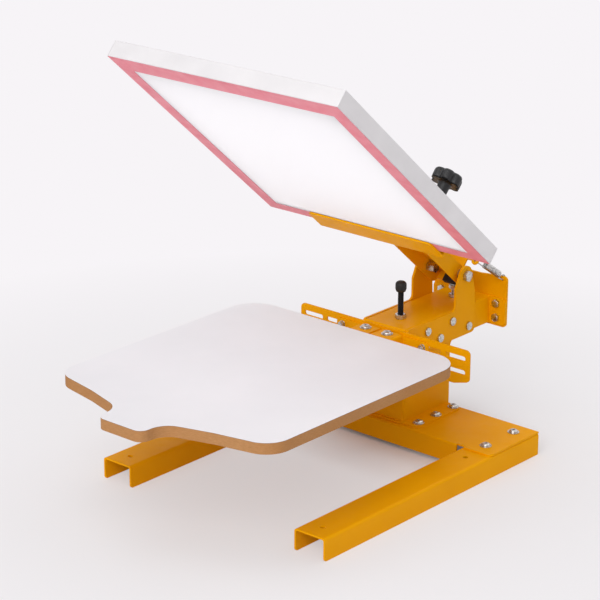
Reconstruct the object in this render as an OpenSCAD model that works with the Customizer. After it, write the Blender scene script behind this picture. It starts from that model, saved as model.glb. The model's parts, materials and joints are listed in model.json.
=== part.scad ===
// Tabletop screen printing press, one colour and one station, with its screen raised.
// Millimetres, +Z up, +X to the machine's right, -Y to the front where the printer stands.
// The origin is the middle of the footprint, on the bench.

/* [Base] */
// Overall width across the two legs
base_w = 472; // [460:1:500]
// Length of each leg
leg_len = 550; // [520:1:600]
// Width of a leg channel
leg_w = 61; // [56:1:66]
// Height of a leg channel
leg_h = 38; // [34:1:42]
// Thickness of the folded steel sheet
sheet = 3; // [2.5:0.5:3]
// Depth of the rear cross member, front to back
cross_d = 135; // [130:1:140]

/* [Post and arm] */
// Width of the folded post
post_w = 88; // [86:1:90]
// Depth of the post, front to back
post_d = 125; // [120:1:128]
// Height of the post's top plate above the bench
post_top = 207; // [205:1:209]
// How far the arm reaches behind the legs' rear ends
arm_rear = 115; // [112:1:116]
// Height of the screen's hinge axis
hinge_z = 263.4; // [262:0.1:265]
// Distance of the hinge axis behind the legs' rear ends
hinge_y = 37.75; // [36:0.25:40]

/* [Platen] */
// Width of the platen
platen_w = 450; // [430:1:456]
// Length of the platen with its neck
platen_len = 545; // [540:1:560]
// Thickness of the platen with its laminate
platen_t = 18.5; // [18:0.5:19]
// Height of the platen's printing face above the bench
platen_top = 220.5; // [220:0.5:221]
// Width of the platen's neck
neck_w = 94; // [90:1:104]

/* [Screen] */
// Outside width of the screen frame
frame_w = 463; // [450:1:470]
// Outside length of the screen frame
frame_len = 502; // [490:1:510]
// Width of a frame tube
tube_w = 30; // [28:1:32]
// Height of a frame tube
tube_h = 28; // [26:1:30]
// Angle of the raised screen above level
raise_deg = 41.1; // [41:0.1:42]
// Gap between the lowered mesh and the platen
off_contact = 2.6; // [2.4:0.1:3]

/* [Springs] */
// Outside diameter of a lift spring
spring_od = 13; // [12:0.5:13.5]
// Wire diameter of a lift spring
spring_wire = 2.2; // [2:0.1:2.2]
// Curls in a lift spring
spring_turns = 14; // [12:1:14]

/* [Hidden] */

paint = "#e19a14";
zinc = "#c9c9c4";
black = "#1d1d1f";
eps = 0.01;
round_fn = 48;

// Distance from the legs' rear ends to the middle of the footprint.
spring_plate_t = 4;
front_y = -201 - platen_len;
rear_reach = arm_rear + spring_plate_t + 8;
mid_y = (front_y + rear_reach) / 2;

// Post and arm
post_front = sheet - post_d;
arm_bottom = 159;
arm_h = post_top - arm_bottom;

// Crossbar on the front of the post, with its two rows of slots
bar_w = 362;
bar_bottom = 143;
bar_top = 205;
slot_h = 8;
slot_rows = [165.5, 189.5];
slot_spans = [[79, 123], [132, 172.5]];

// Platen support
rail_top = platen_top - platen_t;
rail_h = 42;
rail_front = -640;
bar_front = post_front - sheet;
wing_front = bar_front - sheet;
wing_bolt_x = 86;
rail_bolt_x = 23;
rail_bolt_y = -143;
side_bolt_y = [-152, -182];
shelf_len = 70;

// Cheeks and hinge
cheek_t = 4;
cheek_x = post_w / 2 + cheek_t;
hinge_r = 5;
lug_r = 17;
cheek_bolt_yz = [[-66, 191], [-31, 170], [2, 191], [48, 170.5]];

// Head bracket, in its own frame: s is forward from the hinge, t is up from it, screen level
bracket_half = 35.5;
web_t = 10;
ear_bottom = -16;
tail_s = -42;
mesh_t = platen_top + off_contact - hinge_z;
frame_under = mesh_t + 0.8;
frame_rear_s = 210;
jaw_s = 192;
jaw_front_s = 238;
jaw_w = 260;
jaw_top_t = 20;
knob_x = 90;
knob_s = 222;
spring_bar_s = 0;
spring_bar_t = 34;
spring_x = 52;

// Middle of a spring's hook at the spring plate and at the head bracket, on the right
plate_eye = [68, arm_rear + spring_plate_t / 2, 245];
head_eye = [spring_x, hinge_y + spring_bar_t * sin(raise_deg), hinge_z + spring_bar_t * cos(raise_deg)];

module placed() {
  translate([0, -mid_y, 0]) children();
}

// Head-local frame: x across, y = -s, z = t, tilted to the raised position.
module raised() {
  placed()
    translate([0, hinge_y, hinge_z])
      rotate([-raise_deg, 0, 0])
        children();
}

// Rectangle with its corners rounded by true arcs.
module round_rect(w, d, r) {
  square([w - 2 * r, d], center = true);
  square([w, d - 2 * r], center = true);
  for (x = [-1, 1], y = [-1, 1])
    translate([x * (w / 2 - r), y * (d / 2 - r)])
      circle(r, $fn = round_fn);
}

// What is cut from a square corner at the origin to leave a rounded one of radius r.
module corner_waste(r) {
  difference() {
    translate([-1, -1])
      square([r + 1, r + 1]);
    translate([r, r])
      circle(r, $fn = round_fn);
  }
}

// Channel section in the XY plane: a web along the top and two walls, with rounded bends.
module channel_section(w, h, t, r) {
  difference() {
    channel_outline(w, h, r);
    translate([0, -t])
      channel_outline(w - 2 * t, h - t + 1, r - t + 0.5);
  }
}

module channel_outline(w, h, r) {
  translate([-w / 2, -1 * h])
    square([w, h - r]);
  translate([-w / 2 + r, -r - eps])
    square([w - 2 * r, r + eps]);
  for (x = [-1, 1])
    translate([x * (w / 2 - r), -r])
      circle(r, $fn = round_fn);
}

module washer(d, bore, t) {
  difference() {
    cylinder(d = d, h = t, $fn = round_fn);
    translate([0, 0, -1])
      cylinder(d = bore, h = t + 2, $fn = round_fn);
  }
}

// Hexagon across flats af, drilled to bore.
module hex_nut(af, h, bore) {
  difference() {
    cylinder(d = af / cos(30), h = h, $fn = 6);
    translate([0, 0, -1])
      cylinder(d = bore, h = h + 2, $fn = round_fn);
  }
}

// Dome-headed bolt with its washer: the washer rests on z = 0 and the shank points to -Z.
module dome_bolt(d, head_d, head_h, washer_d, len) {
  cylinder(d = washer_d, h = 1.5, $fn = round_fn);
  translate([0, 0, 1.5])
    cylinder(d = head_d, h = head_h * 0.4, $fn = round_fn);
  translate([0, 0, 1.5 + head_h * 0.4])
    difference() {
      cylinder(d1 = head_d, d2 = head_d * 0.55, h = head_h * 0.6, $fn = round_fn);
      cylinder(d = d * 0.55, h = head_h, $fn = 6);
    }
  translate([0, 0, -len])
    cylinder(d = d, h = len, $fn = round_fn);
}

// Flat round head for the cheeks.
module flat_bolt(d, head_d, head_h, len) {
  cylinder(d = head_d, h = head_h * 0.5, $fn = round_fn);
  translate([0, 0, head_h * 0.5])
    cylinder(d1 = head_d, d2 = head_d * 0.7, h = head_h * 0.5, $fn = round_fn);
  translate([0, 0, -len])
    cylinder(d = d, h = len, $fn = round_fn);
}

module hex_bolt(d, af, head_h, len) {
  cylinder(d = af / cos(30), h = head_h, $fn = 6);
  translate([0, 0, -len])
    cylinder(d = d, h = len, $fn = round_fn);
}

leg_x = (base_w - leg_w) / 2;
leg_hole_y = [-519, -161];
leg_bolt_y = [-107, -30];

module leg(side) {
  nose_r = 5;
  placed()
    color(paint)
      difference() {
        translate([side * leg_x, 0, leg_h])
          rotate([90, 0, 0])
            linear_extrude(leg_len)
              channel_section(leg_w, leg_h, sheet, 5);
        for (y = concat(leg_hole_y, leg_bolt_y))
          translate([side * leg_x, y, leg_h - sheet - 1])
            cylinder(d = 9, h = sheet + 2, $fn = round_fn);
        translate([side * leg_x - leg_w, -leg_len, 0])
          rotate([90, 0, 90])
            linear_extrude(leg_w * 2)
              corner_waste(nose_r);
      }
}

module leg_left() {
  leg(-1);
}

module leg_right() {
  leg(1);
}

flange_half = base_w / 2 - leg_w - 8.5;
post_bolt_y = [-108, -61, -13];
post_bolt_x = 66;

// A channel with the legs under its ends; the sheet is notched at each end of the front bend.
module cross_member() {
  z0 = leg_h;
  flange_low = 6;
  notch_w = 16;
  notch_d = 5;
  placed()
    color(paint)
      difference() {
        union() {
          translate([-base_w / 2, -cross_d, z0])
            cube([base_w, cross_d, sheet]);
          for (y = [-cross_d, -sheet])
            translate([-flange_half, y, flange_low])
              cube([2 * flange_half, sheet, z0 + sheet - flange_low]);
        }
        for (side = [-1, 1]) {
          translate([side * base_w / 2, -cross_d, z0 - 1])
            linear_extrude(sheet + 2)
              waste_towards(-side, 1, 9);
          translate([side * (flange_half + notch_w / 2), -cross_d, z0])
            cube([notch_w, 2 * notch_d, 4 * sheet], center = true);
        }
        for (x = [-leg_x, leg_x], y = leg_bolt_y)
          translate([x, y, z0 - 1])
            cylinder(d = 9, h = sheet + 2, $fn = round_fn);
        for (x = [-post_bolt_x, post_bolt_x], y = post_bolt_y)
          translate([x, y, z0 - 1])
            cylinder(d = 9, h = sheet + 2, $fn = round_fn);
        along_x(-flange_half - 1, 2 * flange_half + 2)
          translate([-cross_d, z0 + sheet])
            waste_towards(1, -1, 3);
      }
}

module at_leg_bolts() {
  for (x = [-leg_x, leg_x], y = leg_bolt_y)
    translate([x, y, 0])
      children();
}

module leg_bolts() {
  placed()
    color(zinc)
      at_leg_bolts()
        translate([0, 0, leg_h + sheet])
          dome_bolt(8, 15, 4.2, 20, 16);
}

module nut_under(z) {
  translate([0, 0, z - 6.5])
    hex_nut(13, 6.5, 8.1);
}

module leg_nuts() {
  placed()
    color(zinc)
      at_leg_bolts()
        nut_under(leg_h - sheet);
}

// Points of an arc about c from angle a0 to a1, about 7.5 degrees apart.
function arc(c, r, a0, a1) =
  let (n = max(2, ceil(abs(a1 - a0) / 7.5)))
    [for (i = [0:n]) c + r * [cos(a0 + (a1 - a0) * i / n), sin(a0 + (a1 - a0) * i / n)]];

// The waste of a rounded corner whose part lies towards sx and sy.
module waste_towards(sx, sy, r) {
  mirror([sx < 0 ? 1 : 0, 0])
    mirror([0, sy < 0 ? 1 : 0])
      corner_waste(r);
}

// Extrudes a (y, z) outline along X, from x0 over the length len.
module along_x(x0, len) {
  translate([x0, 0, 0])
    rotate([90, 0, 90])
      linear_extrude(len)
        children();
}

// Extrudes an (x, z) outline towards the front, from y0 over the length len.
module along_y(y0, len) {
  translate([0, y0, 0])
    rotate([90, 0, 0])
      linear_extrude(len)
        children();
}

module hole(d, len) {
  translate([0, 0, -len / 2])
    cylinder(d = d, h = len, $fn = round_fn);
}

fit_gap = 0.1;
foot_z = leg_h + sheet;
column_rear = sheet;
fillet_r = 9;
arm_fillet_r = 16;
foot_flange_x = 78;
foot_flange_front = -126;
foot_flange_rear = -2;
rear_flange_x = 78;
print_stop_y = -79;
raise_stop_y = 68;
bar_bolt_x = 28;
bar_bolt_z = [160, 190];
plate_bolt_x = 59;
plate_bolt_z = [171.5, 197];

module at_post_bolts() {
  for (x = [-post_bolt_x, post_bolt_x], y = post_bolt_y)
    translate([x, y, 0])
      children();
}

// Each child's +Z runs rearwards from the crossbar's front face.
module at_bar_bolts() {
  for (x = [-bar_bolt_x, bar_bolt_x], z = bar_bolt_z)
    translate([x, bar_front, z])
      rotate([-90, 0, 0])
        children();
}

// Each child's +Z runs outwards through a side, from the distance x.
module at_cheek_bolts(x) {
  for (side = [-1, 1], at = cheek_bolt_yz)
    translate([side * x, at[0], at[1]])
      rotate([0, 90 * side, 0])
        children();
}

module at_plate_bolts(y) {
  for (x = [-plate_bolt_x, plate_bolt_x], z = plate_bolt_z)
    translate([x, y, z])
      rotate([-90, 0, 0])
        children();
}

module post_body() {
  difference() {
    along_x(-post_w / 2, post_w) {
      translate([post_front, foot_z])
        square([column_rear - post_front, post_top - foot_z]);
      translate([post_front, arm_bottom])
        square([arm_rear - post_front, arm_h]);
      translate([column_rear, arm_bottom])
        mirror([0, 1])
          difference() {
            translate([-eps, -eps])
              square(arm_fillet_r + eps);
            translate([arm_fillet_r, arm_fillet_r])
              circle(arm_fillet_r, $fn = round_fn);
          }
    }
    along_x(-post_w, 2 * post_w)
      translate([post_front, post_top])
        waste_towards(1, -1, 4);
    for (side = [-1, 1]) {
      along_y(arm_rear + 1, arm_rear - post_front + 2)
        translate([side * post_w / 2, post_top])
          waste_towards(-side, -1, 4);
      translate([side * post_w / 2, post_front, foot_z - 1])
        linear_extrude(post_top)
          waste_towards(-side, 1, 5);
    }
  }
}

module post_flanges() {
  flange_len = foot_flange_rear - foot_flange_front;
  translate([0, foot_flange_front + flange_len / 2, foot_z])
    linear_extrude(sheet)
      round_rect(2 * foot_flange_x, flange_len, 14);
  along_y(arm_rear, sheet)
    translate([0, arm_bottom + arm_h / 2])
      round_rect(2 * rear_flange_x, arm_h, 8);
}

module post() {
  inner_x = post_w / 2 - sheet;
  placed()
    color(paint)
      difference() {
        union() {
          post_body();
          post_flanges();
        }
        translate([-inner_x, post_front + sheet, 0])
          cube([2 * inner_x, arm_rear - post_front, post_top - sheet]);
        at_post_bolts()
          translate([0, 0, foot_z])
            hole(9, 4 * sheet);
        at_bar_bolts()
          hole(6 + 2 * fit_gap, 6 * sheet);
        at_cheek_bolts(post_w / 2)
          hole(8 + 2 * fit_gap, 4 * sheet);
        at_plate_bolts(arm_rear)
          hole(8 + 2 * fit_gap, 4 * sheet);
        translate([0, print_stop_y, post_top])
          hole(10 + fit_gap, 4 * sheet);
        translate([0, raise_stop_y, post_top])
          hole(8 + fit_gap, 4 * sheet);
      }
}

module post_bolts() {
  placed()
    color(zinc)
      at_post_bolts() {
        translate([0, 0, foot_z + sheet])
          dome_bolt(8, 15, 4.2, 20, 20);
        nut_under(leg_h);
      }
}

// Flat below between the rising ends, which meet the sides in round corners.
module bar_outline() {
  corner_r = 8;
  flat_x = 150;
  rise = 14.5;
  corner_x = bar_w / 2 - corner_r;
  low_z = bar_bottom + (corner_x - flat_x) * tan(rise) + corner_r / cos(rise);
  right = concat([[flat_x, bar_bottom]], arc([corner_x, low_z], corner_r, rise - 90, 0),
    arc([corner_x, bar_top - corner_r], corner_r, 0, 90));
  left = [for (i = [len(right) - 1:-1:0]) [-right[i][0], right[i][1]]];
  polygon(concat(right, left));
}

module slot(x0, x1, z) {
  r = slot_h / 2;
  translate([x0 + r, z - r])
    square([x1 - x0 - slot_h, slot_h]);
  for (x = [x0 + r, x1 - r])
    translate([x, z])
      circle(r, $fn = round_fn);
}

module crossbar() {
  placed()
    color(paint)
      difference() {
        along_y(post_front, sheet)
          difference() {
            bar_outline();
            for (m = [0, 1], span = slot_spans, z = slot_rows)
              mirror([m, 0])
                slot(span[0], span[1], z);
          }
        at_bar_bolts()
          cylinder(d1 = 12 + 2 * fit_gap, d2 = 6 + 2 * fit_gap, h = sheet, $fn = round_fn);
      }
}

// Countersunk screws, flush with the crossbar, and their nuts inside the post.
module crossbar_bolts() {
  placed()
    color(zinc)
      at_bar_bolts() {
        translate([0, 0, fit_gap / 2]) {
          cylinder(d1 = 12, d2 = 6, h = sheet, $fn = round_fn);
          cylinder(d = 6, h = 14, $fn = round_fn);
        }
        translate([0, 0, 2 * sheet])
          hex_nut(10, 5, 6 + fit_gap);
      }
}

wing_half = 98;
wing_bottom = 152;
shelf_top = rail_top - sheet;
rail_inner = 41;
flange_bottom = 165;
side_bolt_z = 180;

// Each child's +Z runs to the front, from the plane y.
module at_wing_bolts(y) {
  for (x = [-wing_bolt_x, wing_bolt_x], z = slot_rows)
    translate([x, y, z])
      rotate([90, 0, 0])
        children();
}

module at_rail_bolts() {
  for (x = [-rail_bolt_x, rail_bolt_x])
    translate([x, rail_bolt_y, 0])
      children();
}

module at_side_bolts(x) {
  for (side = [-1, 1], y = side_bolt_y)
    translate([side * x, y, side_bolt_z])
      rotate([0, 90 * side, 0])
        children();
}

module rail_bracket() {
  placed()
    color(paint)
      difference() {
        union() {
          along_y(bar_front, sheet)
            translate([0, (wing_bottom + shelf_top) / 2])
              round_rect(2 * wing_half, shelf_top - wing_bottom, 6);
          translate([-rail_inner, wing_front - shelf_len, shelf_top - sheet])
            cube([2 * rail_inner, shelf_len + eps, sheet]);
          for (side = [-1, 1])
            along_x(side * (rail_inner - sheet / 2) - sheet / 2, sheet)
              difference() {
                translate([wing_front - shelf_len, flange_bottom])
                  square([shelf_len + eps, shelf_top - flange_bottom]);
                translate([wing_front - shelf_len, flange_bottom])
                  waste_towards(1, 1, 12);
              }
        }
        at_wing_bolts(bar_front)
          hole(6 + 2 * fit_gap, 4 * sheet);
        at_rail_bolts()
          translate([0, 0, shelf_top])
            hole(8 + 2 * fit_gap, 4 * sheet);
        at_side_bolts(rail_inner)
          hole(6 + 2 * fit_gap, 4 * sheet);
      }
}

module bracket_bolts() {
  placed()
    color(zinc) {
      at_wing_bolts(wing_front) {
        washer(12, 6 + fit_gap, 1.2);
        translate([0, 0, 1.2])
          hex_nut(10, 5, 6 + fit_gap);
      }
      at_wing_bolts(post_front) {
        translate([0, 0, -4])
          cylinder(d = 10 / cos(30), h = 4, $fn = 6);
        translate([0, 0, -eps])
          cylinder(d = 6, h = 14, $fn = round_fn);
      }
    }
}

rail_gap = 0.3;
rail_in_x = 3;
rail_out_x = rail_inner + sheet;
rail_rear = wing_front - rail_gap;
rail_screw_y = [-262, -440, -600];

module rail(side) {
  placed()
    color(paint)
      difference() {
        mirror([side < 0 ? 1 : 0, 0, 0])
          along_y(rail_rear, rail_rear - rail_front)
            difference() {
              union() {
                translate([rail_in_x, rail_top - sheet])
                  square([rail_out_x - rail_in_x, sheet]);
                translate([rail_inner, rail_top - rail_h])
                  square([sheet, rail_h]);
              }
              translate([rail_out_x, rail_top])
                waste_towards(-1, -1, 4);
            }
        along_x(-post_w, 2 * post_w)
          polygon([[rail_front - 1, rail_top - rail_h - 1], [rail_front + 45, rail_top - rail_h - 1],
            [rail_front - 1, rail_top - 12]]);
        at_rail_bolts()
          translate([0, 0, rail_top])
            hole(8 + 2 * fit_gap, 4 * sheet);
        at_side_bolts(rail_out_x)
          hole(6 + 2 * fit_gap, 4 * sheet);
        at_platen_screws()
          hole(6 + 2 * fit_gap, 4 * sheet);
      }
}

module rail_left() {
  rail(-1);
}

module rail_right() {
  rail(1);
}

module rail_bolts() {
  placed()
    color(zinc) {
      at_rail_bolts() {
        translate([0, 0, rail_top])
          dome_bolt(8, 16, 4.4, 20, 17);
        nut_under(shelf_top - sheet);
      }
      at_side_bolts(rail_out_x) {
        dome_bolt(6, 10, 3.3, 12, 14);
        translate([0, 0, -2 * sheet - 5])
          hex_nut(10, 5, 6 + fit_gap);
      }
    }
}

// Platen: a board with a laminate, rounded at the rear and drawn in to a neck at the front.
platen_rear = -201;
laminate_t = 0.8;
shoulder_y = -664;

module at_platen_screws() {
  for (x = [-rail_bolt_x, rail_bolt_x], y = rail_screw_y)
    translate([x, y, rail_top - sheet])
      children();
}

function platen_half() =
  let (w = platen_w / 2, n = neck_w / 2)
    concat(
      arc([w - 50, platen_rear - 50], 50, 90, 0),
      arc([w - 42, shoulder_y + 42], 42, 0, -79),
      [[128, shoulder_y - 12]],
      arc([n + 35, front_y + 20], 35, 105, 180),
      arc([n - 16, front_y + 16], 16, 0, -90));

module platen_plan() {
  right = platen_half();
  left = [for (i = [len(right) - 1:-1:0]) [-right[i][0], right[i][1]]];
  polygon(concat(right, left));
}

module platen_board() {
  placed()
    color("#b98a5a")
      difference() {
        translate([0, 0, rail_top])
          linear_extrude(platen_t - laminate_t)
            platen_plan();
        at_platen_screws()
          hole(6 + fit_gap, 2 * (sheet + 12.5));
      }
}

module platen_laminate() {
  placed()
    color("#f2f2ee")
      translate([0, 0, platen_top - laminate_t])
        linear_extrude(laminate_t)
          platen_plan();
}

module platen_screws() {
  placed()
    color(zinc)
      at_platen_screws() {
        translate([0, 0, -3.5])
          cylinder(d = 11, h = 3.5, $fn = round_fn);
        translate([0, 0, -eps])
          cylinder(d = 6, h = 15, $fn = round_fn);
      }
}

pivot = [hinge_y, hinge_z];

// Angle at which the line from p touches the circle c, r, on the side given by the sign s.
function touch_angle(c, r, p, s) = atan2(p[1] - c[1], p[0] - c[0]) + s * acos(r / norm(p - c));

function cheek_points() =
  let (low = 156.5, rear_low = [67, 172], rear_high = [64, 231], lug_front = [10.5, 245],
       a0 = touch_angle(pivot, lug_r, rear_high, 1),
       a1 = touch_angle(pivot, lug_r, lug_front, -1) + 360)
    concat(
      arc([rear_low[0] - 10.5, low + 10.5], 10.5, -90, 0),
      [rear_low, rear_high],
      arc(pivot, lug_r, a0, a1 > 360 ? a1 - 360 : a1),
      [lug_front],
      arc([lug_front[0] - fillet_r, post_top + fillet_r], fillet_r, 0, -90),
      arc([post_front + 8, post_top - 6], 6, 90, 180),
      arc([post_front + 8, low + 6], 6, 180, 270));

module cheek(side) {
  placed()
    color(paint)
      difference() {
        along_x(side * (cheek_x - cheek_t / 2) - cheek_t / 2, cheek_t)
          polygon(cheek_points());
        at_cheek_bolts(cheek_x)
          hole(8 + 2 * fit_gap, 4 * cheek_t);
        translate([side * cheek_x, pivot[0], pivot[1]])
          rotate([0, 90, 0])
            hole(2 * hinge_r + fit_gap, 4 * cheek_t);
      }
}

module cheek_left() {
  cheek(-1);
}

module cheek_right() {
  cheek(1);
}

module cheek_bolts() {
  placed()
    color(zinc)
      at_cheek_bolts(cheek_x)
        flat_bolt(8, 14.5, 3.4, 15);
}

module cheek_nuts() {
  placed()
    color(zinc)
      at_cheek_bolts(post_w / 2 - sheet)
        translate([0, 0, -6.5])
          hex_nut(13, 6.5, 8 + fit_gap);
}

plate_eye_t = 4;
spring_hole_d = 4.5;
spring_plate_top = 247;

module spring_plate() {
  low = 155;
  placed()
    color(paint)
      difference() {
        along_y(arm_rear + spring_plate_t, spring_plate_t)
          difference() {
            translate([0, (low + spring_plate_top) / 2])
              round_rect(2 * rear_flange_x, spring_plate_top - low, 7);
            polygon([[-62, spring_plate_top + eps], [-20, spring_plate_top - 4],
              [20, spring_plate_top - 4], [62, spring_plate_top + eps]]);
          }
        at_plate_bolts(arm_rear)
          hole(8 + 2 * fit_gap, 4 * spring_plate_t);
        for (x = [-plate_eye[0], plate_eye[0]])
          translate([x, plate_eye[1], plate_eye[2] - plate_eye_t])
            rotate([90, 0, 0])
              hole(spring_hole_d, 2 * spring_plate_t);
      }
}

// Bolts from the front of the flange, with their nuts behind the spring plate.
module plate_bolts() {
  placed()
    color(zinc) {
      at_plate_bolts(arm_rear - sheet)
        mirror([0, 0, 1])
          hex_bolt(8, 13, 5.3, rear_reach - arm_rear + sheet);
      at_plate_bolts(arm_rear + spring_plate_t)
        hex_nut(13, 6.5, 8 + fit_gap);
    }
}

// Each child's +Z runs outwards along the hinge axis, from the distance x.
module at_hinge(x) {
  for (side = [-1, 1])
    translate([side * x, pivot[0], pivot[1]])
      rotate([0, 90 * side, 0])
        children();
}

hinge_nut_h = 8;
hinge_nut_x = 32;

module hinge_bolts() {
  placed()
    color(zinc)
      at_hinge(cheek_x) {
        hex_bolt(2 * hinge_r, 17, 8, cheek_x - hinge_nut_x + 2 * hinge_nut_h);
      }
}

// Two nuts locked against each other on each hinge bolt, inside the bracket's ear.
module hinge_nuts() {
  placed()
    color(zinc)
      at_hinge(hinge_nut_x)
        for (i = [1, 2])
          translate([0, 0, -i * hinge_nut_h])
            hex_nut(16, hinge_nut_h, 2 * hinge_r + fit_gap);
}

// Front stop: the rod screws through two nuts on the arm and carries the rubber cap.
stop_nut_h = 8;
cap_bottom = 255;
cap_top = hinge_z + web_t - 0.4;
cap_seat = 264;

module nuts_on_arm(af, h, bore) {
  for (z = [post_top, post_top - sheet - h])
    translate([0, 0, z])
      hex_nut(af, h, bore);
}

module print_stop_nut() {
  placed()
    color(zinc)
      translate([0, print_stop_y, 0])
        nuts_on_arm(17, stop_nut_h, 10 + fit_gap);
}

module print_stop_rod() {
  placed()
    color(black)
      translate([0, print_stop_y, 195])
        cylinder(d = 10, h = cap_seat - 195, $fn = round_fn);
}

module print_stop_cap() {
  cap_r = 9.5;
  crown_r = 6;
  placed()
    color(black)
      translate([0, print_stop_y, 0])
        rotate_extrude($fn = round_fn)
          polygon(concat(
            [[5 + fit_gap / 2, cap_bottom], [7.5, cap_bottom], [cap_r, cap_bottom + 6]],
            arc([cap_r - crown_r, cap_top - crown_r], crown_r, 0, 90),
            [[0, cap_top], [0, cap_seat + 0.3], [5 + fit_gap / 2, cap_seat + 0.3]]));
}

// Rear stop: a bolt whose head meets the head's tail pad when the screen is up.
module raise_stop_nut() {
  placed()
    color(zinc)
      translate([0, raise_stop_y, 0])
        nuts_on_arm(16, 6.5, 8 + fit_gap);
}

module raise_stop_bolt() {
  placed()
    color(zinc)
      translate([0, raise_stop_y, 222.5])
        hex_bolt(8, 15, 7, 27);
}

// Head, in its own frame: an outline there has y = -s, and z = t.
ear_inner = bracket_half - sheet;
clamp_half = jaw_w / 2;
wall_front = jaw_s + sheet;
lip_top = mesh_t - 0.1;
pad_t = 3;
tail_plate_s = tail_s + pad_t;
tail_bottom = -5.4;
pad_bottom = -7.7;
ear_r = 15;
spring_bar_half = 58.5;
clamp_bolt_x = [60, 112];
clamp_bolt_t = 6;

module at_clamp_bolts() {
  for (m = [0, 1], x = clamp_bolt_x)
    mirror([m, 0, 0])
      translate([x, -wall_front, clamp_bolt_t])
        rotate([90, 0, 0])
          children();
}

module ear_outline() {
  difference() {
    translate([-jaw_s - eps, ear_bottom])
      square([jaw_s - tail_plate_s + eps, web_t + sheet - ear_bottom]);
    translate([-tail_plate_s, ear_bottom])
      waste_towards(-1, 1, ear_r);
  }
}

module head_bracket() {
  raised()
    color(paint)
      difference() {
        union() {
          translate([-bracket_half, -jaw_s - eps, web_t])
            cube([2 * bracket_half, jaw_s - tail_plate_s + eps, sheet]);
          for (side = [-1, 1])
            along_x(side * (bracket_half - sheet / 2) - sheet / 2, sheet)
              ear_outline();
          translate([-ear_inner - eps, -tail_plate_s - sheet, tail_bottom])
            cube([2 * (ear_inner + eps), sheet, web_t + sheet - tail_bottom]);
          translate([-clamp_half, -wall_front, lip_top - sheet])
            cube([jaw_w, sheet, jaw_top_t - lip_top + sheet]);
          translate([-clamp_half, -jaw_front_s, lip_top - sheet])
            cube([jaw_w, jaw_front_s - wall_front + eps, sheet]);
          along_y(-spring_bar_s + sheet / 2, sheet)
            difference() {
              union() {
                translate([-bracket_half, web_t + sheet - eps])
                  square([2 * bracket_half, spring_bar_t + 2 - web_t - sheet]);
                translate([0, spring_bar_t - 1.5])
                  round_rect(2 * spring_bar_half, 7, 3);
                for (x = [-spring_x, spring_x])
                  translate([x, spring_bar_t - plate_eye_t - 0.5])
                    circle(spring_bar_half - spring_x, $fn = round_fn);
              }
              for (x = [-spring_x, spring_x])
                translate([x, spring_bar_t - plate_eye_t])
                  circle(d = spring_hole_d, $fn = round_fn);
            }
        }
        for (side = [-1, 1])
          translate([side * bracket_half, 0, 0])
            rotate([0, 90, 0])
              hole(14 + fit_gap, 4 * sheet);
        at_clamp_bolts()
          hole(6 + 2 * fit_gap, 4 * sheet);
        along_y(0, 2 * jaw_front_s)
          for (side = [-1, 1])
            translate([side * clamp_half, lip_top - sheet])
              waste_towards(-side, 1, 1.5);
        for (side = [-1, 1])
          translate([side * clamp_half, -jaw_front_s, lip_top - 2 * sheet])
            linear_extrude(3 * sheet)
              waste_towards(-side, 1, 9);
      }
}

module hinge_bushes() {
  flange_len = post_w / 2 - 0.3 - bracket_half;
  raised()
    color(zinc)
      for (side = [-1, 1])
        translate([side * ear_inner, 0, 0])
          rotate([0, 90 * side, 0])
            difference() {
              union() {
                cylinder(d = 14, h = sheet + 1, $fn = round_fn);
                translate([0, 0, sheet])
                  cylinder(d = 20, h = flange_len, $fn = round_fn);
              }
              hole(2 * hinge_r + fit_gap, 50);
            }
}

boss_h = 10;
stud_d = 8;

module at_knobs(t) {
  for (side = [-1, 1])
    translate([side * knob_x, -knob_s, t])
      children();
}

// Upper jaw of the screen clamp, bolted to the bracket's wall, with a threaded boss under each knob.
module clamp_bar() {
  wall_low = -4;
  reach = jaw_front_s + 7;
  raised()
    color(paint)
      difference() {
        union() {
          translate([-clamp_half, -reach, jaw_top_t])
            cube([jaw_w, reach - jaw_s, sheet]);
          translate([-clamp_half, -wall_front - sheet, wall_low])
            cube([jaw_w, sheet, jaw_top_t - wall_low + eps]);
          at_knobs(jaw_top_t + sheet - eps)
            cylinder(d = 18, h = boss_h, $fn = round_fn);
        }
        at_knobs(jaw_top_t)
          hole(stud_d + fit_gap, 6 * boss_h);
        at_clamp_bolts()
          hole(6 + 2 * fit_gap, 6 * sheet);
        for (side = [-1, 1])
          translate([side * clamp_half, -reach, jaw_top_t - 1])
            linear_extrude(sheet + 2)
              waste_towards(-side, 1, 8);
      }
}

module clamp_bolts() {
  raised()
    color(zinc)
      at_clamp_bolts()
        translate([0, 0, sheet]) {
          cylinder(d = 10 / cos(30), h = 4, $fn = 6);
          translate([0, 0, -14])
            cylinder(d = 6, h = 14 + eps, $fn = round_fn);
          translate([0, 0, -2 * sheet - 5])
            hex_nut(10, 5, 6 + fit_gap);
        }
}

// Rubber edging folded round the lower edge of the tail plate.
module tail_pad() {
  pad_half = 18;
  pad_h = web_t - 0.5 - pad_bottom;
  raised()
    color(black)
      along_x(-pad_half, 2 * pad_half)
        difference() {
          translate([-tail_s - 3 * pad_t, pad_bottom])
            square([3 * pad_t, pad_h]);
          translate([-tail_plate_s - sheet - fit_gap, tail_bottom - fit_gap])
            square([sheet + 2 * fit_gap, pad_h]);
        }
}

frame_top = frame_under + tube_h;
pad_gap = 0.3;
foot_t = 7;
knob_r = 26;

// Pressure foot at the end of a knob's stud.
module foot(side) {
  raised()
    color(zinc)
      translate([side * knob_x, -knob_s, frame_top + pad_gap])
        difference() {
          cylinder(d = 20, h = foot_t, $fn = round_fn);
          translate([0, 0, 3])
            cylinder(d = stud_d + fit_gap, h = foot_t, $fn = round_fn);
        }
}

module foot_left() {
  foot(-1);
}

module foot_right() {
  foot(1);
}

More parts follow.
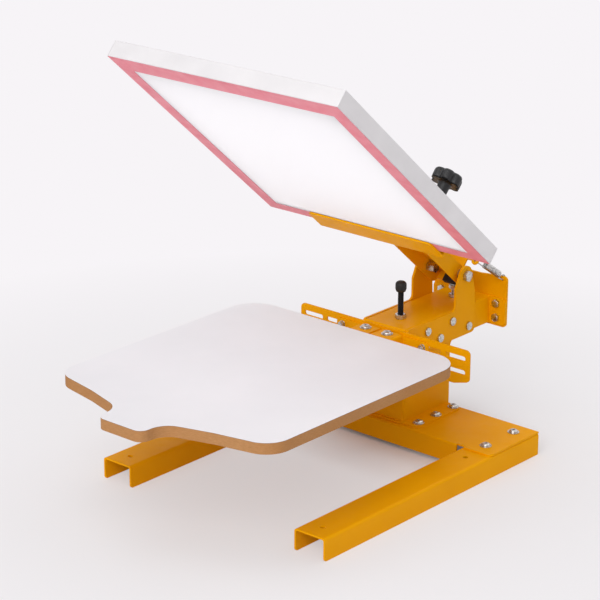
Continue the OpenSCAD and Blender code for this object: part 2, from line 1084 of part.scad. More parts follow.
// Star head with six lobes, its hub and its stud.
module knob(side) {
  head_h = 20;
  head_low = 70;
  hub_low = 50;
  stud_low = frame_top + pad_gap + 3;
  lobes = 6;
  raised()
    translate([side * knob_x, -knob_s, 0]) {
      color(black) {
        intersection() {
          translate([0, 0, head_low])
            linear_extrude(head_h)
              difference() {
                circle(knob_r, $fn = round_fn);
                for (i = [0:lobes - 1])
                  rotate(i * 360 / lobes + 30)
                    translate([knob_r + 4, 0])
                      circle(9, $fn = round_fn);
              }
          rotate_extrude($fn = round_fn)
            polygon(concat([[0, head_low - 1], [knob_r - 3, head_low - 1], [knob_r + 1, head_low + 5]],
              arc([knob_r - 7, head_low + head_h - 8], 8, 0, 90), [[0, head_low + head_h]]));
        }
        translate([0, 0, hub_low])
          cylinder(d1 = 20, d2 = 26, h = head_low - hub_low + eps, $fn = round_fn);
      }
      color(zinc)
        translate([0, 0, stud_low])
          cylinder(d = stud_d, h = hub_low - stud_low + eps, $fn = round_fn);
    }
}

module knob_left() {
  knob(-1);
}

module knob_right() {
  knob(1);
}

tube_wall = 2;

// Hollow tube of length len along X with mitred ends, its outer side on y = 0.
module mitred_tube(len) {
  low = tube_wall;
  high = tube_w - tube_wall;
  half = len / 2;
  difference() {
    linear_extrude(tube_h)
      polygon([[-half, 0], [half, 0], [half - tube_w, tube_w], [tube_w - half, tube_w]]);
    translate([0, 0, tube_wall])
      linear_extrude(tube_h - 2 * tube_wall)
        polygon([[low - half - 1, low], [half - low + 1, low],
          [half - high + 1, high], [high - half - 1, high]]);
  }
}

// One side of the frame: turn 0 is the front, and turns go counterclockwise seen from above.
module frame_side(turn) {
  across = turn % 2 == 0;
  raised()
    color("#c4c6c8")
      translate([0, -frame_rear_s - frame_len / 2, frame_under])
        rotate(90 * turn)
          translate([0, -(across ? frame_len : frame_w) / 2, 0])
            mitred_tube(across ? frame_w : frame_len);
}

module frame_front() {
  frame_side(0);
}

module frame_right() {
  frame_side(1);
}

module frame_rear() {
  frame_side(2);
}

module frame_left() {
  frame_side(3);
}

mesh_sheet = 0.3;

module screen_mesh() {
  raised()
    color("#eef0f0")
      translate([-frame_w / 2, -frame_rear_s - frame_len, frame_under - mesh_sheet])
        cube([frame_w, frame_len, mesh_sheet]);
}

// Bonded border on the print side of the frame.
module glue_tape() {
  band_x = 29.5;
  band_rear = 25;
  band_front = 37.5;
  raised()
    color("#c06a70")
      translate([-frame_w / 2, -frame_rear_s - frame_len, mesh_t])
        difference() {
          cube([frame_w, frame_len, frame_under - mesh_sheet - mesh_t]);
          translate([band_x, band_front, -1])
            cube([frame_w - 2 * band_x, frame_len - band_front - band_rear, 3]);
        }
}

// Lift springs: each is one wire, with a hook, the coil and another hook.
function unit(v) = v / norm(v);
spring_r = (spring_od - spring_wire) / 2;
hook_r = 4.3;
hook_reach = 24;
rear_hook_reach = 12;
curl_rings = 8;
turn_in = 6;
wire_sides = 6;
axis = unit(head_eye - plate_eye);
spring_len = norm(head_eye - plate_eye);
side_u = unit([1, 0, 0] - axis[0] * axis);
side_v = cross(axis, side_u);
coil_pitch = (spring_len - hook_reach - rear_hook_reach) / spring_turns;

function on_coil(i) =
  let (a = 360 * i / curl_rings - 90)
    plate_eye + (rear_hook_reach + coil_pitch * i / curl_rings) * axis
      + spring_r * (cos(a) * side_u + sin(a) * side_v);

// A hook is a round loop about an eye; dir is the way from the eye along the wire to the coil.
function on_hook(eye, dir, a) = eye - hook_r * (cos(a) * side_v + sin(a) * dir);

function bend(p0, t0, p3, t3, u) =
  let (p1 = p0 + t0, p2 = p3 - t3)
    p0 * pow(1 - u, 3) + 3 * p1 * u * pow(1 - u, 2) + 3 * p2 * u * u * (1 - u) + p3 * pow(u, 3);

// A short hook through the spring plate, the coil, and a long-shanked hook through the head bracket.
function spring_wire_line() =
  let (rings = spring_turns * curl_rings, first = on_coil(0), last = on_coil(rings))
    concat(
      [for (a = [250:-25:0]) on_hook(plate_eye, axis, a)],
      [for (i = [1:turn_in - 1])
        bend(on_hook(plate_eye, axis, 0), 4 * axis, first, 4 * side_u, i / turn_in)],
      [for (i = [0:rings]) on_coil(i)],
      [for (i = [1:turn_in - 1])
        bend(last, 4 * side_u, on_hook(head_eye, axis, 0), 12 * axis, i / turn_in)],
      [for (a = [0:25:250]) on_hook(head_eye, -axis, a)]);

function tangents(p) = [for (i = [0:len(p) - 1]) unit(p[min(i + 1, len(p) - 1)] - p[max(i - 1, 0)])];

// A normal at each point, each carried on from the one before.
function normals(t) =
  [for (i = 0, v = unit(cross(t[0], [1, 0.2, 0.3])); i < len(t);
        v = i + 1 < len(t) ? unit(v - (v * t[i + 1]) * t[i + 1]) : v, i = i + 1) v];

function least_gap(p, skip) =
  min([for (i = [0:len(p) - 1]) for (j = [i + skip:1:len(p) - 1]) norm(p[i] - p[j])]) - spring_wire;

module wire_tube(p) {
  t = tangents(p);
  v = normals(t);
  n = wire_sides;
  points = [for (i = [0:len(p) - 1]) for (k = [0:n - 1])
    p[i] + spring_wire / 2 * (cos(360 * k / n) * v[i] + sin(360 * k / n) * cross(t[i], v[i]))];
  walls = [for (i = [0:len(p) - 2]) for (k = [0:n - 1])
    let (a = i * n + k, b = i * n + (k + 1) % n)
      for (face = [[a, a + n, b + n], [a, b + n, b]]) face];
  start = [for (k = [1:n - 2]) [0, k, k + 1]];
  last = (len(p) - 1) * n;
  end = [for (k = [1:n - 2]) [last, last + k + 1, last + k]];
  polyhedron(points, concat(walls, start, end));
}

wire_line = spring_wire_line();
echo(least_gap_of_a_spring_to_itself = least_gap(wire_line, curl_rings - 2));

module spring_right() {
  placed()
    color(zinc)
      wire_tube(wire_line);
}

module spring_left() {
  mirror([1, 0, 0])
    spring_right();
}

leg_left();
leg_right();
cross_member();
leg_bolts();
leg_nuts();
post();
post_bolts();
crossbar();
crossbar_bolts();
rail_bracket();
bracket_bolts();
rail_left();
rail_right();
rail_bolts();
platen_board();
platen_laminate();
platen_screws();
cheek_left();
cheek_right();
cheek_bolts();
cheek_nuts();
spring_plate();
plate_bolts();
hinge_bolts();
hinge_nuts();
print_stop_nut();
print_stop_rod();
print_stop_cap();
raise_stop_nut();
raise_stop_bolt();
head_bracket();
hinge_bushes();
clamp_bar();
clamp_bolts();
tail_pad();
knob_left();
knob_right();
foot_left();
foot_right();
frame_front();
frame_rear();
frame_left();
frame_right();
screen_mesh();
glue_tape();
spring_left();
spring_right();
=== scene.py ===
"""Tabletop screen printing press: finish, fine detail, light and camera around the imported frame."""
import json
import math

import bmesh
import bpy
from mathutils import Matrix, Vector


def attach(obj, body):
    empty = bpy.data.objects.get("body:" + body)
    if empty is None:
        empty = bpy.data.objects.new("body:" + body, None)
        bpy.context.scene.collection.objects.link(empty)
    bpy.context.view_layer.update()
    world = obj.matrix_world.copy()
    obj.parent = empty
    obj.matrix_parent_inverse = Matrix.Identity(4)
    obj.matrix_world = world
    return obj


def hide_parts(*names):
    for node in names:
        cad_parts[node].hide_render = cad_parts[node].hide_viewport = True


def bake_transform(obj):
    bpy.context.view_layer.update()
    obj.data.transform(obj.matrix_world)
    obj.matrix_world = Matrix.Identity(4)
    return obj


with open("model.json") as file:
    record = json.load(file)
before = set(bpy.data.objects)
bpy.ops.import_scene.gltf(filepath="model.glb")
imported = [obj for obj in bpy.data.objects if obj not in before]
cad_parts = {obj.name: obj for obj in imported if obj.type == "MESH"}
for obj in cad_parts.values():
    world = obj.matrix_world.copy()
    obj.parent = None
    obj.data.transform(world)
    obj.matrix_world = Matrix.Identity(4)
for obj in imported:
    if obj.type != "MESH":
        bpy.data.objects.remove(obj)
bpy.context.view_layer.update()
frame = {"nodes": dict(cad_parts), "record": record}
NODES = frame["nodes"]

# Camera, as fitted to the photograph, in millimetres from the middle of the footprint.
IMAGE_PX = 600
FOCAL_PX = 2360.19
AZIMUTH = math.radians(40.925)
ELEVATION = math.radians(19.472)
ROLL = math.radians(0.235)
CAMERA_MM = (2317.8, -2700.9, 1558.6)


def mm(*values):
    """A point given in millimetres, as a vector in metres."""
    return Vector(values) / 1000


def make_camera():
    back = Vector((
        math.sin(AZIMUTH) * math.cos(ELEVATION),
        -math.cos(AZIMUTH) * math.cos(ELEVATION),
        math.sin(ELEVATION),
    ))
    level_right = Vector((math.cos(AZIMUTH), math.sin(AZIMUTH), 0))
    level_up = back.cross(level_right)
    right = math.cos(ROLL) * level_right + math.sin(ROLL) * level_up
    up = math.cos(ROLL) * level_up - math.sin(ROLL) * level_right
    data = bpy.data.cameras.new("camera")
    data.sensor_fit = "HORIZONTAL"
    data.sensor_width = 36
    data.lens = 36 * FOCAL_PX / IMAGE_PX
    data.clip_end = 50
    camera = bpy.data.objects.new("camera", data)
    bpy.context.scene.collection.objects.link(camera)
    matrix = Matrix((right, up, back)).transposed().to_4x4()
    matrix.translation = mm(*CAMERA_MM)
    camera.matrix_world = matrix
    bpy.context.scene.camera = camera


make_camera()


# Materials


class Shader:
    """Small helper that builds one node material."""

    def __init__(self, name, color, roughness, metallic=0.0, **extra):
        self.material = bpy.data.materials.new(name)
        self.material.use_nodes = True
        self.tree = self.material.node_tree
        self.nodes = self.tree.nodes
        self.bsdf = self.nodes["Principled BSDF"]
        self.bsdf.inputs["Base Color"].default_value = (*color, 1)
        self.bsdf.inputs["Roughness"].default_value = roughness
        self.bsdf.inputs["Metallic"].default_value = metallic
        for key, value in extra.items():
            self.bsdf.inputs[key.replace("_", " ")].default_value = value
        self.coords = self.nodes.new("ShaderNodeTexCoord").outputs["Object"]

    def link(self, source, target):
        self.tree.links.new(source, target)

    def stretched(self, scale):
        """Object coordinates, scaled by one factor for each axis."""
        mapping = self.nodes.new("ShaderNodeMapping")
        mapping.inputs["Scale"].default_value = scale
        self.link(self.coords, mapping.inputs["Vector"])
        return mapping.outputs["Vector"]

    def noise(self, scale, detail=3.0, roughness=0.5, vector=None):
        node = self.nodes.new("ShaderNodeTexNoise")
        node.inputs["Scale"].default_value = scale
        node.inputs["Detail"].default_value = detail
        node.inputs["Roughness"].default_value = roughness
        self.link(vector or self.coords, node.inputs["Vector"])
        return node.outputs["Fac"]

    def ramp(self, fac, stops):
        """stops is a list of (position, value or colour)."""
        node = self.nodes.new("ShaderNodeValToRGB")
        elements = node.color_ramp.elements
        while len(elements) < len(stops):
            elements.new(0.5)
        for element, (position, value) in zip(elements, stops):
            element.position = position
            color = value if hasattr(value, "__len__") else (value, value, value)
            element.color = (*color, 1)
        self.link(fac, node.inputs["Fac"])
        return node.outputs["Color"]

    def mix(self, fac, a, b):
        node = self.nodes.new("ShaderNodeMix")
        node.data_type = "RGBA"
        for socket, value in ((node.inputs[0], fac), (node.inputs[6], a), (node.inputs[7], b)):
            if isinstance(value, bpy.types.NodeSocket):
                self.link(value, socket)
            else:
                socket.default_value = value if isinstance(value, float) else (*value, 1)
        return node.outputs[2]

    def height(self, low, high):
        """Fades from 0 at the object's height low to 1 at high."""
        split = self.nodes.new("ShaderNodeSeparateXYZ")
        self.link(self.coords, split.inputs["Vector"])
        fade = self.nodes.new("ShaderNodeMapRange")
        fade.inputs["From Min"].default_value = low
        fade.inputs["From Max"].default_value = high
        self.link(split.outputs["Z"], fade.inputs["Value"])
        return fade.outputs["Result"]

    def color(self, socket):
        self.link(socket, self.bsdf.inputs["Base Color"])

    def roughness(self, socket):
        self.link(socket, self.bsdf.inputs["Roughness"])

    def bump(self, *layers, edge=0.0):
        """layers are (height socket, strength, distance); edge rounds sharp edges by that radius."""
        normal = None
        if edge:
            node = self.nodes.new("ShaderNodeBevel")
            node.samples = 6
            node.inputs["Radius"].default_value = edge
            normal = node.outputs["Normal"]
        for height, strength, distance in layers:
            node = self.nodes.new("ShaderNodeBump")
            node.inputs["Strength"].default_value = strength
            node.inputs["Distance"].default_value = distance
            self.link(height, node.inputs["Height"])
            if normal:
                self.link(normal, node.inputs["Normal"])
            normal = node.outputs["Normal"]
        self.link(normal, self.bsdf.inputs["Normal"])


def powder_coat():
    s = Shader("powder_coat", (0.88, 0.385, 0.0), 0.42, Specular_IOR_Level=0.05)
    tone = s.ramp(s.noise(9.0, 3.0), [(0.3, (0.86, 0.37, 0.0)), (0.7, (0.91, 0.405, 0.0))])
    scuffs = s.ramp(s.noise(70.0, 5.0, 0.7, s.stretched((1.0, 3.5, 3.5))), [(0.66, 0.0), (0.74, 0.35)])
    s.color(s.mix(scuffs, tone, (0.90, 0.44, 0.01)))
    s.roughness(s.ramp(s.noise(60.0, 4.0), [(0.3, 0.33), (0.7, 0.48)]))
    s.bump((s.noise(900.0, 2.0), 0.10, 0.0002), (s.noise(240.0, 2.0), 0.07, 0.0004), edge=0.0004)
    return s.material


def plated(name, dark, bright, rough):
    """Bright zinc plating with a fine cloudy pattern and shallow tool marks."""
    s = Shader(name, bright, rough, 1.0)
    s.color(s.ramp(s.noise(260.0, 4.0), [(0.3, dark), (0.7, bright)]))
    s.roughness(s.ramp(s.noise(500.0, 3.0), [(0.3, rough - 0.08), (0.75, rough + 0.1)]))
    s.bump((s.noise(700.0, 3.0), 0.12, 0.0002), (s.noise(150.0, 2.0), 0.1, 0.0004), edge=0.0003)
    return s.material


def aluminium():
    s = Shader("aluminium", (0.76, 0.745, 0.75), 0.42, 0.35)
    grain = s.noise(700.0, 3.0, 0.6, s.stretched((1.0, 0.03, 0.03)))
    s.color(s.ramp(s.noise(14.0, 3.0), [(0.3, (0.73, 0.715, 0.72)), (0.7, (0.79, 0.775, 0.78))]))
    s.roughness(s.ramp(grain, [(0.3, 0.36), (0.7, 0.5)]))
    s.bump((grain, 0.06, 0.0002), edge=0.0009)
    return s.material


def mesh_cloth():
    """Fine white cloth that lets light through from its far side."""
    s = Shader("mesh_cloth", (0.96, 0.955, 0.965), 0.6, Specular_IOR_Level=0.15)
    warp = s.noise(1500.0, 1.0, 0.5, s.stretched((1.0, 0.02, 0.02)))
    weft = s.noise(1500.0, 1.0, 0.5, s.stretched((0.02, 1.0, 1.0)))
    s.color(s.ramp(s.noise(6.0, 2.0), [(0.3, (0.93, 0.925, 0.94)), (0.7, (0.95, 0.945, 0.96))]))
    s.bump((warp, 0.08, 0.0001), (weft, 0.08, 0.0001))
    through = s.nodes.new("ShaderNodeBsdfTranslucent")
    through.inputs["Color"].default_value = (0.98, 0.975, 0.985, 1)
    blend = s.nodes.new("ShaderNodeMixShader")
    blend.inputs["Fac"].default_value = 0.65
    s.link(s.bsdf.outputs["BSDF"], blend.inputs[1])
    s.link(through.outputs["BSDF"], blend.inputs[2])
    s.link(blend.outputs["Shader"], s.nodes["Material Output"].inputs["Surface"])
    return s.material


def glue_film():
    s = Shader("glue_film", (0.95, 0.29, 0.35), 0.45, Specular_IOR_Level=0.3)
    s.bsdf.inputs["Alpha"].default_value = 0.88
    s.color(s.ramp(s.noise(45.0, 4.0), [(0.3, (0.92, 0.25, 0.31)), (0.7, (0.98, 0.34, 0.40))]))
    s.roughness(s.ramp(s.noise(120.0, 3.0), [(0.3, 0.38), (0.7, 0.55)]))
    s.bump((s.noise(300.0, 3.0), 0.15, 0.0003))
    return s.material


def fibreboard():
    s = Shader("fibreboard", (0.48, 0.25, 0.10), 0.75, Specular_IOR_Level=0.25)
    layers = s.noise(160.0, 4.0, 0.6, s.stretched((1.0, 1.0, 6.0)))
    fibres = s.ramp(layers, [(0.3, (0.40, 0.19, 0.066)), (0.7, (0.51, 0.26, 0.105))])
    blotches = s.ramp(s.noise(12.0, 3.0), [(0.35, 0.0), (0.7, 0.45)])
    s.color(s.mix(blotches, fibres, (0.42, 0.18, 0.05)))
    s.bump((s.noise(900.0, 4.0), 0.3, 0.0003), edge=0.0005)
    return s.material


def laminate():
    """White face on a dark core, which shows at the sheet's edge."""
    s = Shader("laminate", (0.83, 0.82, 0.84), 0.45, Specular_IOR_Level=0.3)
    face = s.ramp(s.noise(7.0, 3.0), [(0.3, (0.815, 0.81, 0.83)), (0.7, (0.845, 0.835, 0.855))])
    core_top, face_from = 0.2200, 0.2203
    s.color(s.mix(s.height(core_top, face_from), (0.14, 0.075, 0.04), face))
    s.roughness(s.ramp(s.noise(40.0, 4.0), [(0.3, 0.4), (0.7, 0.52)]))
    s.bump((s.noise(1500.0, 2.0), 0.04, 0.0001))
    return s.material


def rubber():
    s = Shader("rubber", (0.014, 0.014, 0.015), 0.6, Specular_IOR_Level=0.35)
    s.color(s.ramp(s.noise(90.0, 3.0), [(0.3, 0.011), (0.7, 0.02)]))
    s.roughness(s.ramp(s.noise(300.0, 3.0), [(0.3, 0.5), (0.7, 0.7)]))
    s.bump((s.noise(900.0, 3.0), 0.2, 0.0002), edge=0.0005)
    return s.material


def black_steel():
    s = Shader("black_steel", (0.02, 0.02, 0.021), 0.35, 0.6)
    s.roughness(s.ramp(s.noise(300.0, 3.0), [(0.3, 0.28), (0.7, 0.45)]))
    s.bump((s.noise(900.0, 3.0), 0.1, 0.0002), edge=0.0003)
    return s.material


def knob_plastic():
    s = Shader("knob_plastic", (0.012, 0.012, 0.013), 0.38, Specular_IOR_Level=0.4)
    s.roughness(s.ramp(s.noise(200.0, 3.0), [(0.3, 0.32), (0.7, 0.46)]))
    s.bump((s.noise(1100.0, 3.0), 0.12, 0.0002), edge=0.0006)
    return s.material


# Each of the part's material slots and its finish
MATERIALS = {
    "paint": powder_coat(),
    "zinc": plated("zinc", (0.38, 0.37, 0.35), (0.68, 0.67, 0.64), 0.28),
    "spring_steel": plated("spring_steel", (0.34, 0.33, 0.32), (0.62, 0.61, 0.60), 0.24),
    "black_steel": black_steel(),
    "aluminium": aluminium(),
    "mesh": mesh_cloth(),
    "glue": glue_film(),
    "board": fibreboard(),
    "laminate": laminate(),
    "rubber": rubber(),
    "knob_plastic": knob_plastic(),
}


def dress_nodes():
    for part in frame["record"]["subparts"]:
        node = NODES[part["node"]]
        node.data.materials.clear()
        node.data.materials.append(MATERIALS[part["material_slot"]])


dress_nodes()


# Places shared with the part's source, in millimetres, +Y to the rear
MID_Y = 309.5
PIVOT_Y = 37.75
PIVOT_Z = 263.4
RAISE = math.radians(41.1)
SHEET = 3
LEG_X = 205.5
LEG_TOP = 38
LEG_BOLT_YS = (-107, -30)
POST_TOP = 207
POST_BOLT_X = 66
POST_BOLT_YS = (-108, -61, -13)
RAIL_TOP = 202
RAIL_TOP_BOLT = (23, -143, RAIL_TOP)
RAIL_SIDE_BOLTS = ((44, -152, 180), (44, -182, 180))
BRACKET_INSIDE_X = 33
SLOT_BOLTS = ((86, -128, 165.5), (86, -128, 189.5))
CHEEK_X = 48
CHEEK_BOLTS_YZ = ((-66, 191), (-31, 170), (2, 191), (48, 170.5))
ARM_REAR = 115
PLATE_BOLTS = ((59, ARM_REAR, 171.5), (59, ARM_REAR, 197))
PRINT_STOP_Y = -79
RAISE_STOP_Y = 68
CLAMP_BOLTS = ((60, -198, 6), (112, -198, 6))

# Fasteners, in millimetres. A nut is its width across flats, height and bore radius.
NUT_M6 = (10, 5, 3.05)
NUT_M8 = (13, 6.5, 4.05)
RAISE_STOP_NUT = (16, 6.5, 4.05)
NUT_M10 = (17, 8, 5.05)
# A hexagonal head is its width across flats and height.
HEAD_M6 = (10, 4)
HEAD_M8 = (13, 5.3)
RAISE_STOP_HEAD = (15, 7)
HINGE_HEAD = (17, 8)
# A domed bolt is its diameter, its head's width and height, and its washer's width.
DOME_M6 = (6, 10, 3.3, 12)
DOME_M8 = (8, 15, 4.2, 20)
WIDE_DOME_M8 = (8, 16, 4.4, 20)
PITCH_M6 = 1
PITCH_M8 = 1.25
PITCH_M10 = 1.5
WASHER_HEIGHT = 1.5
SLOT_WASHER = (6, 3.05, 1.2)
BOLT_SEGMENTS = 40
THREAD_SEGMENTS = 24
CHAMFER_SLOPE = 0.577

UP = (0, 0, 1)
TO_FRONT = (0, -1, 0)
TO_REAR = (0, 1, 0)

PLACED = Matrix.Translation((0, MID_Y, 0))
HEAD = Matrix.Translation((0, PIVOT_Y + MID_Y, PIVOT_Z)) @ Matrix.Rotation(-RAISE, 4, "X")


def facing(point, direction, base=PLACED):
    """A placement at point whose +Z runs along direction."""
    turn = Vector(direction).to_track_quat("Z", "Y").to_matrix().to_4x4()
    return base @ Matrix.Translation(point) @ turn


def above(matrix, height):
    """The same placement, moved along its own +Z."""
    return matrix @ Matrix.Translation((0, 0, height))


def outwards(x, y, z):
    """A placement that faces away from the press's middle plane."""
    return facing((x, y, z), (math.copysign(1, x), 0, 0))


def both_sides(*points):
    """The points and their mirror images, the left ones first."""
    return [(side * x, y, z) for side in (-1, 1) for x, y, z in points]


def lathe(bm, profile, closed=False, steps=BOLT_SEGMENTS):
    """Spins (radius, height) points round Z."""
    verts = [bm.verts.new((radius, 0, height)) for radius, height in profile]
    pairs = list(zip(verts, verts[1:]))
    if closed:
        pairs.append((verts[-1], verts[0]))
    edges = [bm.edges.new(pair) for pair in pairs]
    bmesh.ops.spin(bm, geom=verts + edges, cent=(0, 0, 0), axis=(0, 0, 1), angle=math.tau,
                   steps=steps, use_merge=True)
    bmesh.ops.remove_doubles(bm, verts=bm.verts, dist=0.001)
    bmesh.ops.recalc_face_normals(bm, faces=bm.faces)


def arc(cx, cz, r, start, end, steps=6):
    """Points of an arc, its angles in degrees."""
    angles = [math.radians(start + (end - start) * i / steps) for i in range(steps + 1)]
    return [(cx + r * math.cos(a), cz + r * math.sin(a)) for a in angles]


def cut_flats(bm, across):
    """Cuts six flats on a turned blank."""
    for k in range(6):
        normal = Vector((math.cos(math.tau * k / 6), math.sin(math.tau * k / 6), 0))
        geom = bm.verts[:] + bm.edges[:] + bm.faces[:]
        cut = bmesh.ops.bisect_plane(bm, geom=geom, plane_co=normal * across / 2, plane_no=normal,
                                     clear_outer=True)
        rim = [e for e in cut["geom_cut"] if isinstance(e, bmesh.types.BMEdge)]
        bmesh.ops.contextual_create(bm, geom=rim)


def hexagon(across):
    """A hexagon's corner radius, the radius of its chamfered face and the chamfer's height."""
    corner = across / 2 / math.cos(math.pi / 6)
    face = across * 0.47
    return corner, face, (corner - face) * CHAMFER_SLOPE


def hex_head(bm, across, height):
    """Head with its seat on z = 0."""
    corner, face, drop = hexagon(across)
    lathe(bm, [(0, 0), (corner, 0), (corner, height - drop), (face, height), (0, height)])
    cut_flats(bm, across)


def nut(bm, across, height, bore):
    corner, face, drop = hexagon(across)
    mouth = 0.5
    lathe(bm, [(bore, mouth), (bore + mouth, 0), (face, 0), (corner, drop), (corner, height - drop),
               (face, height), (bore + mouth, height), (bore, height - mouth)], closed=True)
    cut_flats(bm, across)


def washer(bm, radius, bore, thickness):
    edge = 0.25
    lathe(bm, [(bore, 0), (radius - edge, 0), (radius, edge), (radius, thickness - edge),
               (radius - edge, thickness), (bore, thickness)], closed=True)


def socket(bm, rim, across, depth):
    """Joins an open round rim to a hexagonal socket with a flat bottom."""
    level = rim[0].verts[0].co.z
    sunk = 0.3
    ring = bmesh.ops.create_circle(bm, segments=6, radius=hexagon(across)[0])
    bmesh.ops.translate(bm, verts=ring["verts"], vec=(0, 0, level - sunk))
    edges = list({e for v in ring["verts"] for e in v.link_edges})
    bmesh.ops.bridge_loops(bm, edges=rim + edges)
    wall = bmesh.ops.extrude_edge_only(bm, edges=edges)["geom"]
    low = [v for v in wall if isinstance(v, bmesh.types.BMVert)]
    bmesh.ops.translate(bm, verts=low, vec=(0, 0, -depth))
    bmesh.ops.contextual_create(bm, geom=low)


def button_head(bm, radius, height, across):
    """Domed head with a socket, its seat on z = 0."""
    edge = 0.3
    band = 0.22
    crown = [(radius * math.cos(a), height * (band + (1 - band) * math.sin(a)))
             for a in (math.radians(d) for d in (0, 14, 28, 42, 56))]
    lathe(bm, [(0, 0), (radius - edge, 0), (radius, edge)] + crown)
    rim = [e for e in bm.edges if e.is_boundary]
    socket(bm, rim, across, height * 0.6)


def flat_head(bm, radius, height):
    """Round head with its seat on z = 0."""
    edge = 0.3
    nose = 0.7
    seat = [(0, 0), (radius - edge, 0), (radius, edge)]
    lathe(bm, seat + arc(radius - nose, height - nose, nose, 0, 90, 4) + [(0, height)])


def thread(bm, radius, low, high, pitch):
    """Threaded rod with chamfered ends."""
    root = radius - 0.6 * pitch
    points = [(0, low), (root, low), (radius, low + pitch)]
    turns = int((high - low - 2 * pitch) / pitch)
    for i in range(turns):
        z = low + pitch * (1 + i)
        points += [(radius, z + 0.2 * pitch), (root, z + 0.55 * pitch), (root, z + 0.7 * pitch),
                   (radius, z + pitch)]
    lathe(bm, points + [(root, high), (0, high)], steps=THREAD_SEGMENTS)


def add(bm, matrix, shape, *sizes, **options):
    """Adds one shape to bm, placed by matrix."""
    part = bmesh.new()
    shape(part, *sizes, **options)
    bmesh.ops.transform(part, matrix=matrix, verts=part.verts)
    mesh = bpy.data.meshes.new("part")
    part.to_mesh(mesh)
    part.free()
    bm.from_mesh(mesh)
    bpy.data.meshes.remove(mesh)


def finish_piece(name, bm, body, slot, stands_for=(), sharp=32):
    """Turns bm, in millimetres, into a piece that rides a body."""
    bmesh.ops.scale(bm, vec=(0.001, 0.001, 0.001), verts=bm.verts)
    mesh = bpy.data.meshes.new(name)
    bm.to_mesh(mesh)
    bm.free()
    for polygon in mesh.polygons:
        polygon.use_smooth = True
    mesh.set_sharp_from_angle(angle=math.radians(sharp))
    piece = bpy.data.objects.new(name, mesh)
    bpy.context.scene.collection.objects.link(piece)
    mesh.materials.append(MATERIALS[slot])
    if body:
        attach(piece, body)
    if stands_for:
        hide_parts(*stands_for)
    return piece


def shank(bm, radius, low, high):
    lathe(bm, [(0, low), (radius, low), (radius, high), (0, high)], steps=THREAD_SEGMENTS)


def button_bolt(bm, matrix, diameter, head, height, rim, length):
    """Domed bolt on a washer, which lies on z = 0. The thread reaches down by length."""
    play = 0.1
    into_head = 0.1
    add(bm, matrix, washer, rim / 2, diameter / 2 + play, WASHER_HEIGHT)
    add(bm, above(matrix, WASHER_HEIGHT), button_head, head / 2, height, diameter * 0.6)
    add(bm, matrix, thread, diameter / 2, -length, WASHER_HEIGHT + into_head, PITCH_M8)


def nut_below(bm, x, y, z, size):
    """A nut whose upper face is at height z."""
    add(bm, facing((x, y, z - size[1]), UP), nut, *size)


def make_base_bolts():
    leg_bolts = both_sides(*[(LEG_X, y, LEG_TOP + SHEET) for y in LEG_BOLT_YS])
    bm = bmesh.new()
    for point in leg_bolts:
        button_bolt(bm, facing(point, UP), *DOME_M8, 16)
    finish_piece("leg_bolts_fine", bm, "base", "zinc", ["leg_bolts"])
    bm = bmesh.new()
    for x, y, z in both_sides(*[(POST_BOLT_X, y, LEG_TOP + 2 * SHEET) for y in POST_BOLT_YS]):
        button_bolt(bm, facing((x, y, z), UP), *DOME_M8, 20)
        nut_below(bm, x, y, LEG_TOP, NUT_M8)
    finish_piece("post_bolts_fine", bm, "base", "zinc", ["post_bolts"])
    bm = bmesh.new()
    for x, y, z in leg_bolts:
        nut_below(bm, x, y, z - 2 * SHEET, NUT_M8)
    finish_piece("leg_nuts_fine", bm, "base", "zinc", ["leg_nuts"])


def make_rail_bolts():
    bm = bmesh.new()
    for x, y, z in both_sides(RAIL_TOP_BOLT):
        button_bolt(bm, facing((x, y, z), UP), *WIDE_DOME_M8, 17)
        nut_below(bm, x, y, z - 2 * SHEET, NUT_M8)
    for x, y, z in both_sides(*RAIL_SIDE_BOLTS):
        button_bolt(bm, outwards(x, y, z), *DOME_M6, 14)
        add(bm, outwards(math.copysign(BRACKET_INSIDE_X, x), y, z), nut, *NUT_M6)
    finish_piece("rail_bolts_fine", bm, "base", "zinc", ["rail_bolts"])
    bm = bmesh.new()
    for point in both_sides(*SLOT_BOLTS):
        front = facing(point, TO_FRONT)
        add(bm, front, washer, *SLOT_WASHER)
        add(bm, above(front, SLOT_WASHER[2]), nut, *NUT_M6)
        add(bm, front, thread, 3, -9, 8, PITCH_M6)
        add(bm, above(front, -13), hex_head, *HEAD_M6)
    finish_piece("bracket_bolts_fine", bm, "base", "zinc", ["bracket_bolts"])


def make_cheek_bolts():
    bm = bmesh.new()
    for x, y, z in both_sides(*[(CHEEK_X, y, z) for y, z in CHEEK_BOLTS_YZ]):
        add(bm, outwards(x, y, z), flat_head, 7.25, 3.4)
        add(bm, outwards(x, y, z), shank, 4, -15, 0.5)
    finish_piece("cheek_bolts_fine", bm, "base", "zinc", ["cheek_bolts"])
    bm = bmesh.new()
    for x, y, z in both_sides((CHEEK_X, PIVOT_Y, PIVOT_Z)):
        add(bm, outwards(x, y, z), hex_head, *HINGE_HEAD)
        add(bm, outwards(x, y, z), shank, 5, -32, 1)
    finish_piece("hinge_bolts_fine", bm, "base", "zinc", ["hinge_bolts"])


def make_plate_bolts():
    plate_thick = 4
    bm = bmesh.new()
    for x, y, z in both_sides(*PLATE_BOLTS):
        front = facing((x, y - SHEET, z), TO_FRONT)
        add(bm, front, hex_head, *HEAD_M8)
        add(bm, front, thread, 4, -15, 1, PITCH_M8)
        add(bm, facing((x, y + plate_thick, z), TO_REAR), nut, *NUT_M8)
    finish_piece("plate_bolts_fine", bm, "base", "zinc", ["plate_bolts"])


